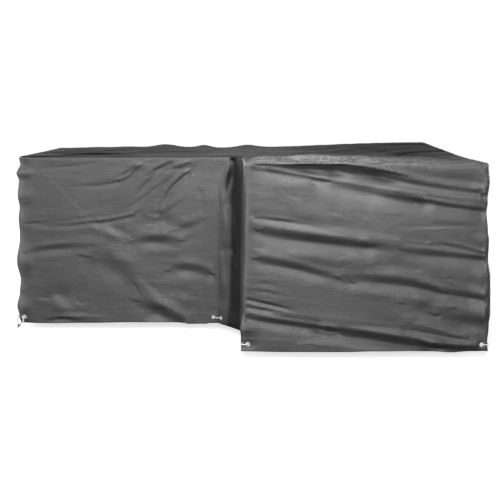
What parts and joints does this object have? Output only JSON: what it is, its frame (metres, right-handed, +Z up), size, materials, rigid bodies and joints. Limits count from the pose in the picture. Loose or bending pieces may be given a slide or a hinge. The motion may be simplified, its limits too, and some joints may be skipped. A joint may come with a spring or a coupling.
{
  "type": "patio furniture cover",
  "caption": "Hollow fitted cloth cover for an L-shaped outdoor seat: L-shaped top, creased walls down to a hem, eyelets and short tie cords at the corners.",
  "frame": {"origin": "just under the middle of the top panel, where the covered furniture carries the cloth (mount furniture_top)", "axes": "+Z up, +X along the long side, and the open front of the L towards -Y"},
  "size_m": [1.8813, 1.4404, 0.7522],
  "materials": {
    "cover_cloth": "coated woven cloth with a soft sheen",
    "eyelet_metal": "bright",
    "tie_cord": "matt braid"
  },
  "bodies": {
    "root": {"top_panel": "cover_cloth", "front_panel": "cover_cloth", "inner_side_panel": "cover_cloth", "inner_front_panel": "cover_cloth", "left_end_panel": "cover_cloth", "back_panel": "cover_cloth", "right_side_panel": "cover_cloth", "eyelet_arm_left_on_inner_side": "eyelet_metal", "eyelet_arm_left_on_front": "eyelet_metal", "eyelet_arm_right_on_front": "eyelet_metal", "eyelet_arm_right_on_right_side": "eyelet_metal", "eyelet_back_right_on_right_side": "eyelet_metal", "eyelet_back_right_on_back": "eyelet_metal", "eyelet_back_left_on_back": "eyelet_metal", "eyelet_back_left_on_left_end": "eyelet_metal", "eyelet_left_front_on_left_end": "eyelet_metal", "eyelet_left_front_on_inner_front": "eyelet_metal", "eyelet_inside_corner_on_inner_front": "eyelet_metal", "eyelet_inside_corner_on_inner_side": "eyelet_metal", "tie_arm_left": "tie_cord", "tie_arm_right": "tie_cord", "tie_back_right": "tie_cord", "tie_back_left": "tie_cord", "tie_inside_corner": "tie_cord", "tie_left_end": "tie_cord", "tie_left_front": "tie_cord"}
  },
  "joints": []
}
